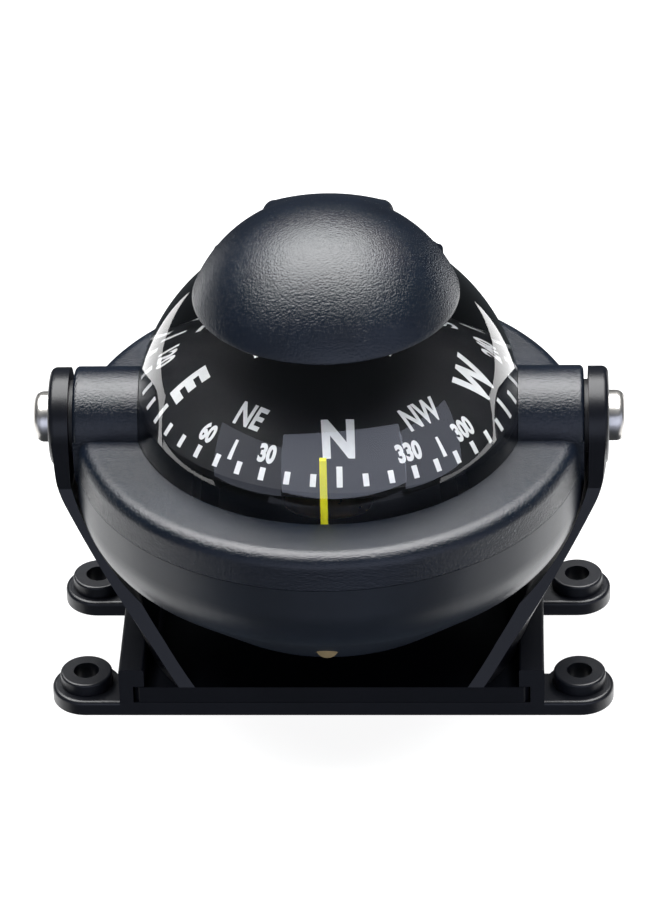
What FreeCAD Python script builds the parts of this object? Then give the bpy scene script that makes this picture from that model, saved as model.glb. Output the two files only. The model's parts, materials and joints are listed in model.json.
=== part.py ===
"""Bracket-mounted dome compass: a liquid-filled capsule in a tilting two-part housing.

Millimetres, +Z up. X runs along the tilt axis and -Y is the reading side. The origin is the centre
of the base's underside. "axis" below means the tilt axis, and heights named *_rel are above it.
"""
import FreeCAD, Part
import math
import os

from FreeCAD import Vector

# ---- driving dimensions -----------------------------------------------------------------------
AXIS_Z = 56.7              # tilt axis above the base's underside
RUN = 0.05                 # running clearance, shaft in hole, on the radius

# base plate
BASE_T = 3.2
BASE_HALF_Y = 24.3
EAR_R = 7.0                # rounded end of a mounting ear
EAR_NECK_Y = 3.4           # rear edge of an ear's neck, behind the ear's centre
BOLT_X = 50.2              # bolt pattern, half spacings
BOLT_Y = 17.1
BOSS_R = 5.3
BOSS_TOP = 6.0
BOLT_HOLE_R = 2.6
EDGE_R = 0.5               # rounded edges of bosses and rails
EAR_EDGE_R = 0.8
RAIL_OUT_X = 43.0
RAIL_LEG_X = 40.2          # inner face of the rail's upright
RAIL_LIP_X = 37.9          # inner edge of the rail's lip
RAIL_LIP_Z = 7.15          # underside of the lip
RAIL_TOP = 11.3
STOP_T = 1.6               # wall that closes the rear end of the track
STOP_GAP = 0.3             # between that wall's top and the yoke

# slide yoke
PLATE_HALF_X = 39.9
PLATE_BOTTOM = 3.3
PLATE_TOP = 7.0
PLATE_REAR_Y = 22.4
ARM_OUT_X = 55.84          # outer face at the ear
ARM_IN_X = 51.8            # inner face at the ear
ARM_EAR_R = 9.95
ARM_FOOT_HALF_Y = 24.3
# (radius, height) points of the arms' turned outer and inner surfaces
ARM_OUTSIDE = [(38.0, 3.3), (41.5, 13.9), (42.3, 16.0), (43.2, 18.1), (44.2, 20.3), (54.15, 42.5),
               (54.68, 43.8), (55.13, 45.2), (55.44, 46.6), (55.62, 48.0), (56.2, 58.7)]
ARM_INSIDE = [(35.6, 3.3), (39.6, 16.3), (45.6, 33.0), (50.3, 44.0), (54.4, 53.5), (54.4, 58.7)]
SWEEP_R = 53.7             # ball the tilting housing stays inside
FOOT_OUT_X = 37.5          # the arm's foot stays between the rail lips
FOOT_CLEAR_Z = 11.7        # and widens above them
FOOT_IN_X = 35.2
FOOT_ROOT_Z = 16.0
PIVOT_HOLE_R = 2.6
ARM_EAR_EDGE_R = 1.4
PLATE_CORNER = 1.0

# latch between base and yoke
LATCH_Y = -12.0            # bump and notch
LATCH_NOTCH = 1.2          # depth of the notch
LATCH_NOTCH_HALF_X = 5.0
LATCH_NOTCH_HALF_Y = 1.4
LATCH_HALF_X = 4.0
LATCH_FRONT = 2.0          # length of the leaf in front of the bump
LATCH_REAR_Y = 12.0
LATCH_T = 0.4
LATCH_Z = 4.2              # underside of the leaf
LATCH_BUMP_R = 1.9
LATCH_BUMP_RISE = 0.3      # centre of the bump above the underside
POCKET_GAP = 0.5
POCKET_HEAD = 0.9          # space above the leaf
SEAT_LENGTH = 6.0
RIVET_X = 2.2
RIVET_Y = 9.0
RIVET_R = 0.7
RIVET_HEAD_R = 1.5
RIVET_HEAD_T = 0.6
RIVET_END = 0.7            # how far a rivet stops below the yoke plate's top

# pivot screws, washers and inserts
SCREW_R = 2.5
SCREW_HEAD_R = 5.1
SCREW_RIM_T = 1.4          # straight edge of the head
SCREW_CORNER_R = 1.9
SCREW_CROWN = 0.31         # rise of the head's end over its rounded corner
SOCKET_R = 1.5
SOCKET_DEPTH = 1.6
SCREW_END_X = 45.6
WASHER_R = 7.3
WASHER_IN_X = 51.0
INSERT_R = 4.0
INSERT_IN_X = 44.6

# housing
TRUNNION_R = 10.1
TRUNNION_OUT_X = 50.9
PAD_IN_X = 46.5
PAD_DROP = 4.2             # the pad's lower arc is centred this far below the axis
BEZEL_TOP = 0.5
BEZEL_R = 50.9
BEZEL_SEAM_R = 51.2
BEZEL_EDGE_R = 3.0         # rounded top edge
BEZEL_FLOOR = -3.0         # underside that presses on the lens flange
SEAM_REL = -6.8
BEZEL_WALL_IN_R = 44.3
BEZEL_WALL_END = -7.1
SHELL_T = 2.2
SHOULDER_REL = -13.0       # lower bowl: start of the shoulder arc
SHOULDER_R = 14.0
FLANK_DEG = 41.4           # slope of the straight flank
BOWL_BOTTOM = -41.8
BOTTOM_ARC_R = 20.0
TRUNNION_ROOT_X = 36.0
TRUNNION_EDGE_R = 1.0
CROWN_IN_R = 30.0          # inner limit of the bezel before it is bored
LENS_GAP = 0.1
CAPSULE_THREAD_R = 1.05
CAPSULE_THREAD_END = -3.2
HOOD_THREAD_END = -2.4
BOTTOM_SCREW_HOLE_R = 1.4
COUNTERBORE_R = 2.8
COUNTERBORE = 1.3

# capsule
LENS_R = 39.0
LENS_IN_R = 36.5
LENS_FLANGE_R = 44.0
LENS_FLANGE_BOTTOM = -5.2
GASKET_R = 40.5
GASKET_WIRE_R = 1.0
CAPSULE_FLANGE_R = 46.9
CAPSULE_FLANGE_TOP = -7.2
CAPSULE_FLANGE_BOTTOM = -9.2
CAPSULE_FLOOR = -24.0
CAPSULE_FLOOR_T = 2.2
CAPSULE_WALL = 2.0
CHAMBER_PORT_R = 7.0       # opening in the floor behind the diaphragm
FOOT_BOSS_R = 2.9
FOOT_THREAD_R = 1.3
FOOT_THREAD_END = 11.0     # above the bowl's underside
PLUG_REL = -14.0
PLUG_BOSS_R = 4.0
PLUG_BOSS_ROOT_Y = 30.0
PLUG_BOSS_Y = 37.6
PLUG_STEM_R = 1.95
PLUG_STEM_END_Y = 34.2
PLUG_HEAD_R = 3.3
PLUG_HEAD_GAP = 0.8        # filled by the seal
PLUG_HEAD_T = 1.4
PLUG_SEAL_R = 2.45
PLUG_SEAL_WIRE_R = 0.4
CAPSULE_SCREW_RING_R = 45.3
BOTTOM_SCREW_RING_R = 16.0
DIAPHRAGM_R = 10.0
DIAPHRAGM_T = 0.6
DIAPHRAGM_ROLL_R = 4.2
DIAPHRAGM_BEAD_R = 1.0
DIAPHRAGM_GROOVE_R = 0.5
CLAMP_RING_IN_R = 7.2
CLAMP_RING_T = 0.8

# slotted screws
SLOT_DEPTH = 0.6
SLOT_HALF = 0.2
BOTTOM_SCREW_TIP = 10.0    # above the bowl's underside
BOTTOM_SCREW_HEAD_R = 2.6
BOTTOM_SCREW_SHANK_R = 1.25
BOTTOM_SCREW_SINK = 0.1    # head below the bowl's underside
CAPSULE_SCREW_HEAD_R = 1.8
CAPSULE_SCREW_HEAD_T = 1.2
CAPSULE_SCREW_SHANK_R = 1.0
CAPSULE_SCREW_TIP = -3.6

# card and gimbal: at rest the card hangs dipped about the tilt axis and slightly rolled
CARD_DIP_DEG = -7.4
CARD_ROLL_DEG = 2.0
CARD_R = 28.0
CARD_DOME_R = 33.5
CARD_DOME_REL = -20.0
CARD_T = 0.65
RING_OUT_R = 14.0
RING_IN_R = 11.6
RING_HALF_T = 1.2
GIMBAL_PIN_R = 0.7
GIMBAL_PIN_SET = 0.6       # inner end of an outer pin, from the ring's bore
RING_PIN_SET = 0.4         # outer end of a ring pin, from the ring's rim
RING_PIN_DEPTH = 2.4       # length of a ring pin in the carrier
POST_X = 16.6              # fork posts that hold the outer pins
POST_HALF_T = 1.3
POST_HALF_Y = 2.5
FORK_BASE_T = 2.0
CARRIER_HALF_Y = 10.6
CARRIER_HALF_X = 1.6
CARRIER_BOTTOM = -1.6
CARRIER_TOP = 1.2
HUB_R = 4.0
HUB_BOTTOM = -2.4
HUB_TOP = 1.6
STEM_R = 1.4
STEM_END = -14.0
WEIGHT_R = 6.0
WEIGHT_BOTTOM = -13.6
WEIGHT_TOP = -8.0
WEIGHT_EDGE_R = 0.8
PIN_R = 0.8
PIN_BOTTOM = -1.0
PIN_SHOULDER = 4.0
PIN_POINT = 1.2            # length of the cone
PIN_TIP_R = 0.1
CUP_R = 2.2
CUP_BOTTOM = 4.4
CUP_TOP = 7.2
CUP_MOUTH_R = 1.9
CUP_SEAT_R = 0.15
CUP_DEPTH = 1.0
FLOAT_R = 9.0
FLOAT_BOTTOM = 5.0
FLOAT_WALL = 0.8
FLOAT_HUB_R = 3.2
FLOAT_HOLLOW_TOP = 10.4
MAGNET_X = 5.4
MAGNET_HALF_X = 1.2
MAGNET_HALF_Y = 5.6
MAGNET_BOTTOM = 4.0
MAGNET_TOP = 5.6
LUBBER_Y = -30.6
LUBBER_TOP = 10.6
LUBBER_HALF_X = 0.65
LUBBER_HALF_Y = 0.6
LUBBER_TIP_R = 0.25
LUBBER_FOOT_HALF_X = 1.2
LUBBER_FOOT_Y = -33.0
LUBBER_RING_R = 37.5
LUBBER_RING_IN_R = 31.5
LUBBER_RING_BOTTOM = -6.8
LUBBER_RING_TOP = -5.0

# compensator
ROD_R = 1.9
ROD_HEAD_R = 2.2
HEAD_INNER_END = -14.0
ROD_INNER_END = 12.0
ROD_MAGNET_R = 0.75
ROD_MAGNET_HALF = 1.7      # half its length
SEAL_WIRE_R = 0.5
SEAL_GROOVE = 1.3          # length of the seal's groove
SEAL_SHOULDER = 0.8        # wall between the groove and the boss's inner end
ROD_COLLAR_R = 2.7         # stops the rod from drawing out
ROD_COLLAR_T = 1.0
ROD_BOSS_R = 4.4
FORE_ROD_REL = -30.8
FORE_ROD_END = -37.0       # outer end of the rod
FORE_BOSS_END = -29.0      # inner end of its boss in the bowl
CROSS_ROD_REL = -35.2
CROSS_ROD_END = -32.0
CROSS_BOSS_END = -25.1
BLOCK_R = 11.0
BLOCK_TOP = -28.2

# hood
HOOD_R = 28.55
HOOD_CENTRE_REL = 18.4
HOOD_RIM_R = 26.4
HOOD_WALL = 2.3
HOOD_GAP = 0.15
SPINE_R = 44.6
SPINE_HALF_X = 13.0
BAND_R = 40.8
BAND_HALF_X = 22.9
BAND_IN_R = 39.3
SPINE_CORNER_R = 2.4
BAND_CORNER_R = 1.0
SPINE_START_DEG = 12       # top ends of the strap, from straight up
BAND_START_DEG = 28
STRAP_END_DEG = 92
CHANNEL_HALF_X = 8.0
CHANNEL_START_DEG = 5
CHANNEL_SKIN = 1.6
CHANNEL_FLOOR = 1.2
CHANNEL_BOTTOM = 3.0
HOOD_SCREW_X = 19.0
HOOD_SCREW_Y = 39.6
STRAP_FOOT_R = 3.6
STRAP_FOOT_IN_Y = 33.0
STRAP_FOOT_TOP = 2.9
HOOD_SCREW_HOLE_R = 1.3
HOOD_SCREW_HEAD_R = 2.3
HOOD_SCREW_HEAD_T = 1.5
HOOD_SCREW_EDGE_R = 0.6
HOOD_SCREW_SLOT = 0.7
HOOD_SCREW_SLOT_HALF = 0.3
HOOD_SCREW_SHANK_R = 1.0
HOOD_SCREW_TIP = -2.2
LAMP_R = 14.0
LAMP_TOP = 43.2
LAMP_T = 1.0
LED_R = 1.5
LED_STEM = 1.6
LED_X = 5.0
GLAND_REL = 7.0
GLAND_R = 2.2
GLAND_IN_Y = 40.9
GLAND_SEAT_Y = 44.6
GLAND_COLLAR_R = 3.4
GLAND_COLLAR_Y = 46.2
GLAND_NOSE_R = 2.6
GLAND_NOSE_TIP_R = 1.9
GLAND_NOSE = 3.0
GLAND_BORE_R = 1.1

ORIGIN = Vector(0, 0, 0)
X_AXIS = Vector(1, 0, 0)
Y_AXIS = Vector(0, 1, 0)
Z_AXIS = Vector(0, 0, 1)
AXIS_POINT = Vector(0, 0, AXIS_Z)
SIDES = (-1, 1)
BIG = 200.0                # longer than anything here
PAST = 1.0                 # how far a cutter runs past a face
ON_FACE = 0.01             # tolerance for picking edges


# ---- helpers ----------------------------------------------------------------------------------
def box(x0, x1, y0, y1, z0, z1):
    return Part.makeBox(x1 - x0, y1 - y0, z1 - z0, Vector(x0, y0, z0))


def ball(radius, rel=0.0):
    return Part.makeSphere(radius, Vector(0, 0, AXIS_Z + rel))


def cyl_x(radius, x0, x1, y=0.0, z=AXIS_Z):
    return Part.makeCylinder(radius, abs(x1 - x0), Vector(min(x0, x1), y, z), X_AXIS)


def cyl_y(radius, y0, y1, x=0.0, z=AXIS_Z):
    return Part.makeCylinder(radius, abs(y1 - y0), Vector(x, min(y0, y1), z), Y_AXIS)


def cyl_z(radius, z0, z1, x=0.0, y=0.0):
    return Part.makeCylinder(radius, z1 - z0, Vector(x, y, z0), Z_AXIS)


def tube_z(outer_r, inner_r, z0, z1, x=0.0, y=0.0):
    return cyl_z(outer_r, z0, z1, x, y).cut(cyl_z(inner_r, z0 - 1, z1 + 1, x, y))


def line(a, b):
    return Part.makeLine(Vector(*a), Vector(*b))


def arc(a, mid, b):
    return Part.Arc(Vector(*a), Vector(*mid), Vector(*b)).toShape()


def polar(centre, radius, degrees):
    """Point in the XZ plane, measured from +X towards +Z."""
    angle = math.radians(degrees)
    return (centre[0] + radius * math.cos(angle), 0.0, centre[1] + radius * math.sin(angle))


def arc_about(centre, radius, start_deg, end_deg):
    spots = [polar(centre, radius, angle) for angle in (start_deg, (start_deg + end_deg) / 2, end_deg)]
    return arc(*spots)


def revolve(edges):
    """Turn a closed XZ outline, drawn about the axis point, once round Z."""
    face = Part.Face(Part.Wire(edges))
    solid = face.revolve(ORIGIN, Z_AXIS, 360)
    solid.translate(AXIS_POINT)
    return solid


def polygon_edges(points):
    spots = [(x, 0.0, z) for x, z in points]
    return [line(a, b) for a, b in zip(spots, spots[1:] + spots[:1])]


def turned(points):
    return revolve(polygon_edges(points))


def union(shapes):
    result = shapes[0].multiFuse(shapes[1:])
    return result.removeSplitter()


def at_angles(count, start_deg=0.0):
    return [math.radians(start_deg + 360.0 * k / count) for k in range(count)]


def ring_spots(radius, count, start_deg):
    return [(radius * math.cos(angle), radius * math.sin(angle)) for angle in at_angles(count, start_deg)]


def torus(ring_r, wire_r, centre, direction):
    return Part.makeTorus(ring_r, wire_r, Vector(*centre), direction)


def fillet(shape, radius, chosen):
    """Round the chosen edges."""
    return shape.makeFillet(radius, chosen)


def hang(shape):
    """Tilt a card-side piece from level to the card's rest attitude."""
    shape.rotate(AXIS_POINT, Y_AXIS, CARD_ROLL_DEG)
    shape.rotate(AXIS_POINT, X_AXIS, CARD_DIP_DEG)
    return shape


def dip(shape):
    """Tilt a gimbal-ring piece, which only turns about the tilt axis."""
    shape.rotate(AXIS_POINT, X_AXIS, CARD_DIP_DEG)
    return shape


def save(name, shape):
    solids = shape.Solids
    assert shape.isValid(), name
    assert all(solid.isClosed() for solid in solids), name
    result = solids[0] if len(solids) == 1 else Part.makeCompound(solids)
    result.exportStep("parts/" + name + ".step")
    print(name, len(solids), round(result.Volume, 2))


# ---- base -------------------------------------------------------------------------------------
def base_ear(x_sign, y_sign):
    centre_x = x_sign * BOLT_X
    centre_y = y_sign * (BASE_HALF_Y - EAR_R)
    edge_x = x_sign * (RAIL_OUT_X - PAST)
    low, high = sorted((edge_x, centre_x))
    plate = cyl_z(EAR_R, 0, BASE_T, centre_x, centre_y)
    plate = union([plate, box(low, high, centre_y - EAR_R, centre_y + EAR_NECK_Y, 0, BASE_T)])
    rim = [e for e in plate.Edges if e.BoundBox.ZMin > BASE_T - ON_FACE and e.BoundBox.XLength < 3 * EAR_R
           and abs(e.CenterOfMass.x) > RAIL_OUT_X]
    plate = fillet(plate, EAR_EDGE_R, rim)
    boss = cyl_z(BOSS_R, 0, BOSS_TOP, centre_x, y_sign * BOLT_Y)
    boss = fillet(boss, EDGE_R, [e for e in boss.Edges if e.BoundBox.ZMin > BOSS_TOP - ON_FACE])
    return union([plate, boss])


def base_rail(x_sign):
    def span(a, b):
        return sorted((x_sign * a, x_sign * b))
    leg = box(*span(RAIL_LEG_X, RAIL_OUT_X), -BASE_HALF_Y, BASE_HALF_Y, 0, RAIL_TOP)
    lip = box(*span(RAIL_LIP_X, RAIL_OUT_X), -BASE_HALF_Y, BASE_HALF_Y, RAIL_LIP_Z, RAIL_TOP)
    rail = leg.fuse(lip).removeSplitter()
    top = [e for e in rail.Edges
           if e.BoundBox.ZMin > RAIL_TOP - ON_FACE and e.BoundBox.YLength > BASE_HALF_Y]
    return fillet(rail, EDGE_R, top)


def base_plate():
    slab = box(-RAIL_OUT_X, RAIL_OUT_X, -BASE_HALF_Y, BASE_HALF_Y, 0, BASE_T)
    pieces = [slab] + [base_rail(s) for s in SIDES]
    pieces += [base_ear(sx, sy) for sx in SIDES for sy in SIDES]
    pieces.append(box(-RAIL_LEG_X, RAIL_LEG_X, BASE_HALF_Y - STOP_T, BASE_HALF_Y, BASE_T, PLATE_TOP))
    plate = union(pieces)
    for sx in SIDES:
        for sy in SIDES:
            plate = plate.cut(cyl_z(BOLT_HOLE_R, -PAST, BOSS_TOP + PAST, sx * BOLT_X, sy * BOLT_Y))
    notch = box(-LATCH_NOTCH_HALF_X, LATCH_NOTCH_HALF_X, LATCH_Y - LATCH_NOTCH_HALF_Y,
                LATCH_Y + LATCH_NOTCH_HALF_Y, BASE_T - LATCH_NOTCH, PLATE_BOTTOM)
    return plate.cut(notch)


# ---- yoke -------------------------------------------------------------------------------------
def arm_surface(points):
    """Solid inside the surface turned from (radius, height) points that run upwards."""
    outline = [(0.0, points[0][1])] + points + [(0.0, points[-1][1])]
    return Part.Face(Part.Wire(polygon_edges(outline))).revolve(ORIGIN, Z_AXIS, 360)


def arm_outline():
    """Side view of both arms, as a prism along X, without the round ears."""
    neck_z = AXIS_Z - 1.1 * ARM_EAR_R
    points = [(-ARM_FOOT_HALF_Y, PLATE_BOTTOM), (ARM_FOOT_HALF_Y, PLATE_BOTTOM),
              (ARM_FOOT_HALF_Y, PLATE_TOP),
              (ARM_EAR_R, neck_z), (ARM_EAR_R, AXIS_Z), (-ARM_EAR_R, AXIS_Z), (-ARM_EAR_R, neck_z),
              (-ARM_FOOT_HALF_Y, PLATE_TOP)]
    wire = Part.makePolygon([Vector(-ARM_OUT_X, y, z) for y, z in points + points[:1]])
    return Part.Face(wire).extrude(Vector(2 * ARM_OUT_X, 0, 0))


def stepped_slab(low_half_x, high_half_x, step_z):
    """Space within low_half_x of the middle below step_z, and within high_half_x above it."""
    low = box(-low_half_x, low_half_x, -BIG, BIG, 0, step_z)
    return low.fuse(box(-high_half_x, high_half_x, -BIG, BIG, step_z, BIG)).removeSplitter()


def slide_yoke():
    outer = arm_surface(ARM_OUTSIDE).common(arm_outline())
    outer = outer.common(stepped_slab(FOOT_OUT_X, BIG, FOOT_CLEAR_Z))
    inner = arm_surface(ARM_INSIDE).common(stepped_slab(FOOT_IN_X, ARM_IN_X, FOOT_ROOT_Z))
    arms = outer.cut(inner)
    ears = []
    for side in SIDES:
        ear = cyl_x(ARM_EAR_R, side * ARM_IN_X, side * ARM_OUT_X)
        rim = [e for e in ear.Edges if abs(e.CenterOfMass.x - side * ARM_OUT_X) < ON_FACE]
        ears.append(fillet(ear, ARM_EAR_EDGE_R, rim))
    plate = box(-PLATE_HALF_X, PLATE_HALF_X, -BASE_HALF_Y, PLATE_REAR_Y, PLATE_BOTTOM, PLATE_TOP)
    corners = [e for e in plate.Edges if e.BoundBox.ZLength > ON_FACE and e.BoundBox.YMax < 0]
    plate = plate.makeChamfer(PLATE_CORNER, [e for e in corners if e.BoundBox.XLength < ON_FACE])
    yoke = union([arms.cut(box(-BIG, BIG, PLATE_REAR_Y, BIG, 0, PLATE_TOP + STOP_GAP)), plate] + ears)
    sweep = ball(SWEEP_R).common(box(-ARM_IN_X, ARM_IN_X, -BIG, BIG, PLATE_TOP, BIG))
    yoke = yoke.cut(sweep)
    for side in SIDES:
        yoke = yoke.cut(cyl_x(PIVOT_HOLE_R, side * (ARM_IN_X - PAST), side * (ARM_OUT_X + PAST)))
        yoke = yoke.cut(cyl_z(RIVET_R + RUN, PLATE_BOTTOM, PLATE_TOP - RIVET_END + 2 * RUN,
                              side * RIVET_X, RIVET_Y))
    return yoke.cut(latch_pocket())


def latch_pocket():
    """Recess under the yoke plate, with a raised seat that the leaf is riveted to."""
    half_x = LATCH_HALF_X + POCKET_GAP
    rear = LATCH_REAR_Y + POCKET_GAP
    leaf_top = LATCH_Z + LATCH_T
    pocket = box(-half_x, half_x, LATCH_Y - LATCH_FRONT - POCKET_GAP, rear, PLATE_BOTTOM - PAST,
                 leaf_top + POCKET_HEAD)
    return pocket.cut(box(-half_x, half_x, LATCH_REAR_Y - SEAT_LENGTH, rear, leaf_top, PLATE_TOP))


def latch_spring():
    """Leaf spring whose bump drops into the base's notch."""
    leaf = box(-LATCH_HALF_X, LATCH_HALF_X, LATCH_Y - LATCH_FRONT, LATCH_REAR_Y, LATCH_Z, LATCH_Z + LATCH_T)
    bump = cyl_x(LATCH_BUMP_R, -LATCH_HALF_X, LATCH_HALF_X, LATCH_Y, LATCH_Z + LATCH_BUMP_RISE)
    leaf = union([leaf, bump.common(box(-BIG, BIG, -BIG, BIG, 0, LATCH_Z + LATCH_T))])
    for side in SIDES:
        leaf = leaf.cut(cyl_z(RIVET_R + 2 * RUN, 0, 2 * LATCH_Z, side * RIVET_X, RIVET_Y))
    return leaf


def latch_rivets():
    rivets = []
    for side in SIDES:
        shank = cyl_z(RIVET_R, LATCH_Z, PLATE_TOP - RIVET_END, side * RIVET_X, RIVET_Y)
        head = cyl_z(RIVET_HEAD_R, LATCH_Z - RIVET_HEAD_T, LATCH_Z, side * RIVET_X, RIVET_Y)
        rivets.append(union([shank, head]))
    return Part.makeCompound(rivets)


def pivot_screw(side):
    """Pan head outside the arm, shank through it into the trunnion insert."""
    rim_x = ARM_OUT_X + RUN
    centre = (SCREW_HEAD_R - SCREW_CORNER_R, SCREW_RIM_T)
    shoulder = SCREW_RIM_T + SCREW_CORNER_R
    tip = shoulder + SCREW_CROWN
    crown_mid = (centre[0] / 2, 0, tip - SCREW_CROWN / 4)
    edges = [line((0, 0, 0), (SCREW_HEAD_R, 0, 0)),
             line((SCREW_HEAD_R, 0, 0), (SCREW_HEAD_R, 0, SCREW_RIM_T)),
             arc_about(centre, SCREW_CORNER_R, 0, 90),
             arc((centre[0], 0, shoulder), crown_mid, (0, 0, tip)),
             line((0, 0, tip), (0, 0, 0))]
    head = Part.Face(Part.Wire(edges)).revolve(ORIGIN, Z_AXIS, 360)
    corners = [Vector(SOCKET_R * math.cos(a), SOCKET_R * math.sin(a), tip - SOCKET_DEPTH)
               for a in at_angles(6) + [0.0]]
    head = head.cut(Part.Face(Part.makePolygon(corners)).extrude(Vector(0, 0, tip)))
    head.rotate(ORIGIN, Y_AXIS, side * 90)
    head.translate(Vector(side * rim_x, 0, AXIS_Z))
    return union([head, cyl_x(SCREW_R, side * rim_x, side * SCREW_END_X)])


def friction_washers():
    rings = []
    for side in SIDES:
        ring = cyl_x(WASHER_R, side * WASHER_IN_X, side * ARM_IN_X)
        rings.append(ring.cut(cyl_x(PIVOT_HOLE_R, side * (WASHER_IN_X - PAST), side * (ARM_IN_X + PAST))))
    return Part.makeCompound(rings)


def trunnion_inserts():
    sleeves = []
    for side in SIDES:
        sleeve = cyl_x(INSERT_R, side * INSERT_IN_X, side * TRUNNION_OUT_X)
        sleeves.append(sleeve.cut(cyl_x(SCREW_R + RUN, side * RAIL_OUT_X, side * ARM_IN_X)))
    return Part.makeCompound(sleeves)


# ---- housing ----------------------------------------------------------------------------------
def trunnion(side):
    barrel = cyl_x(TRUNNION_R, side * TRUNNION_ROOT_X, side * TRUNNION_OUT_X)
    rim = [e for e in barrel.Edges if abs(e.CenterOfMass.x - side * TRUNNION_OUT_X) < ON_FACE]
    return fillet(barrel, TRUNNION_EDGE_R, rim)


def pad(side):
    """Flat pad on the housing's side, a full-width obround that hangs below the trunnion."""
    low, high = sorted((side * PAD_IN_X, side * TRUNNION_OUT_X))
    block = box(low, high, -TRUNNION_R, TRUNNION_R, AXIS_Z - PAD_DROP, AXIS_Z)
    foot = cyl_x(TRUNNION_R, low, high, 0, AXIS_Z - PAD_DROP)
    return union([block, foot])


def above_seam():
    return box(-BIG, BIG, -BIG, BIG, AXIS_Z + SEAM_REL + RUN, BIG)


def between_pads():
    """Space between the two flats that the washers bear on."""
    return box(-TRUNNION_OUT_X, TRUNNION_OUT_X, -BIG, BIG, 0, BIG)


def upper_housing():
    edge_start = BEZEL_R - BEZEL_EDGE_R
    corner = BEZEL_EDGE_R * (1 - math.sqrt(0.5))
    edge_end = BEZEL_TOP - BEZEL_EDGE_R
    spigot_r = BEZEL_SEAM_R - SHELL_T - RUN
    seam = SEAM_REL + RUN
    edges = [line((CROWN_IN_R, 0, BEZEL_TOP), (edge_start, 0, BEZEL_TOP)),
             arc((edge_start, 0, BEZEL_TOP), (BEZEL_R - corner, 0, BEZEL_TOP - corner),
                 (BEZEL_R, 0, edge_end)),
             line((BEZEL_R, 0, edge_end), (BEZEL_SEAM_R, 0, seam)),
             line((BEZEL_SEAM_R, 0, seam), (spigot_r, 0, seam)),
             line((spigot_r, 0, seam), (spigot_r, 0, BEZEL_WALL_END)),
             line((spigot_r, 0, BEZEL_WALL_END), (CROWN_IN_R, 0, BEZEL_WALL_END)),
             line((CROWN_IN_R, 0, BEZEL_WALL_END), (CROWN_IN_R, 0, BEZEL_TOP))]
    sides = union([trunnion(s) for s in SIDES] + [pad(s) for s in SIDES]).common(above_seam())
    body = union([revolve(edges).common(between_pads()), sides])
    inside = cyl_z(BEZEL_WALL_IN_R, AXIS_Z + BEZEL_WALL_END - PAST, AXIS_Z + BEZEL_FLOOR)
    body = body.cut(inside).cut(ball(LENS_R + LENS_GAP))
    for side in SIDES:
        body = body.cut(cyl_x(INSERT_R, side * INSERT_IN_X, side * (TRUNNION_OUT_X + PAST)))
        body = body.cut(cyl_z(CAPSULE_THREAD_R, AXIS_Z + HOOD_THREAD_END, AXIS_Z + BEZEL_TOP + PAST,
                              side * HOOD_SCREW_X, HOOD_SCREW_Y))
    for x, y in ring_spots(CAPSULE_SCREW_RING_R, 6, 30):
        body = body.cut(cyl_z(CAPSULE_THREAD_R, AXIS_Z + BEZEL_WALL_END - PAST,
                              AXIS_Z + CAPSULE_THREAD_END, x, y))
    return body


def bowl_outline(inset):
    """Half section of the bowl, moved inwards by the wall, closed along the Z axis."""
    wall_r = BEZEL_SEAM_R - inset
    shoulder = (BEZEL_SEAM_R - SHOULDER_R, SHOULDER_REL)
    turn = 90 - FLANK_DEG
    drop = BOTTOM_ARC_R * (1 - math.cos(math.radians(FLANK_DEG)))
    flank_start = polar(shoulder, SHOULDER_R, -turn)
    flank_fall = flank_start[2] - (BOWL_BOTTOM + drop)
    arc_start_r = flank_start[0] - flank_fall / math.tan(math.radians(FLANK_DEG))
    bottom = (arc_start_r - BOTTOM_ARC_R * math.sin(math.radians(FLANK_DEG)), BOWL_BOTTOM + BOTTOM_ARC_R)
    top = SEAM_REL if inset == 0 else SEAM_REL + 1
    lowest = BOWL_BOTTOM + inset
    return [line((0, 0, top), (wall_r, 0, top)),
            line((wall_r, 0, top), (wall_r, 0, SHOULDER_REL)),
            arc_about(shoulder, SHOULDER_R - inset, 0, -turn),
            line(polar(shoulder, SHOULDER_R - inset, -turn), polar(bottom, BOTTOM_ARC_R - inset, -turn)),
            arc_about(bottom, BOTTOM_ARC_R - inset, -turn, -90),
            line((bottom[0], 0, lowest), (0, 0, lowest)),
            line((0, 0, lowest), (0, 0, top))]


def lower_housing():
    outer = revolve(bowl_outline(0))
    below = box(-BIG, BIG, -BIG, BIG, 0, AXIS_Z + SEAM_REL - RUN)
    body = union([outer.common(between_pads())] + [pad(s) for s in SIDES]).common(below)
    body = body.cut(revolve(bowl_outline(SHELL_T)))
    seal_r = ROD_HEAD_R + 2 * SEAL_WIRE_R + 2 * RUN
    bored = ((cyl_y, FORE_ROD_REL, FORE_BOSS_END), (cyl_x, CROSS_ROD_REL, CROSS_BOSS_END))
    for cylinder, rel, boss_end in bored:
        z = AXIS_Z + rel
        body = union([body, cylinder(ROD_BOSS_R, -BEZEL_R, boss_end, 0, z).common(outer)])
        body = body.cut(cylinder(ROD_HEAD_R + RUN, -BEZEL_R, boss_end + PAST, 0, z))
        groove_end = boss_end - SEAL_SHOULDER
        body = body.cut(cylinder(seal_r, groove_end - SEAL_GROOVE, groove_end, 0, z))
    for x, y in ring_spots(BOTTOM_SCREW_RING_R, 4, 45):
        body = body.cut(cyl_z(BOTTOM_SCREW_HOLE_R, 0, AXIS_Z + BOWL_BOTTOM + SHELL_T + PAST, x, y))
        body = body.cut(cyl_z(COUNTERBORE_R, 0, AXIS_Z + BOWL_BOTTOM + COUNTERBORE, x, y))
    return body


def cap_screw(spot, head_bottom, head_top, tip, head_r, shank_r):
    """Small slotted pan-head screw that points up."""
    x, y = spot
    head = cyl_z(head_r, head_bottom, head_top, x, y)
    slot = box(x - head_r, x + head_r, y - SLOT_HALF, y + SLOT_HALF,
               head_bottom - PAST, head_bottom + SLOT_DEPTH)
    return union([head.cut(slot), cyl_z(shank_r, head_top, tip, x, y)])


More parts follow.
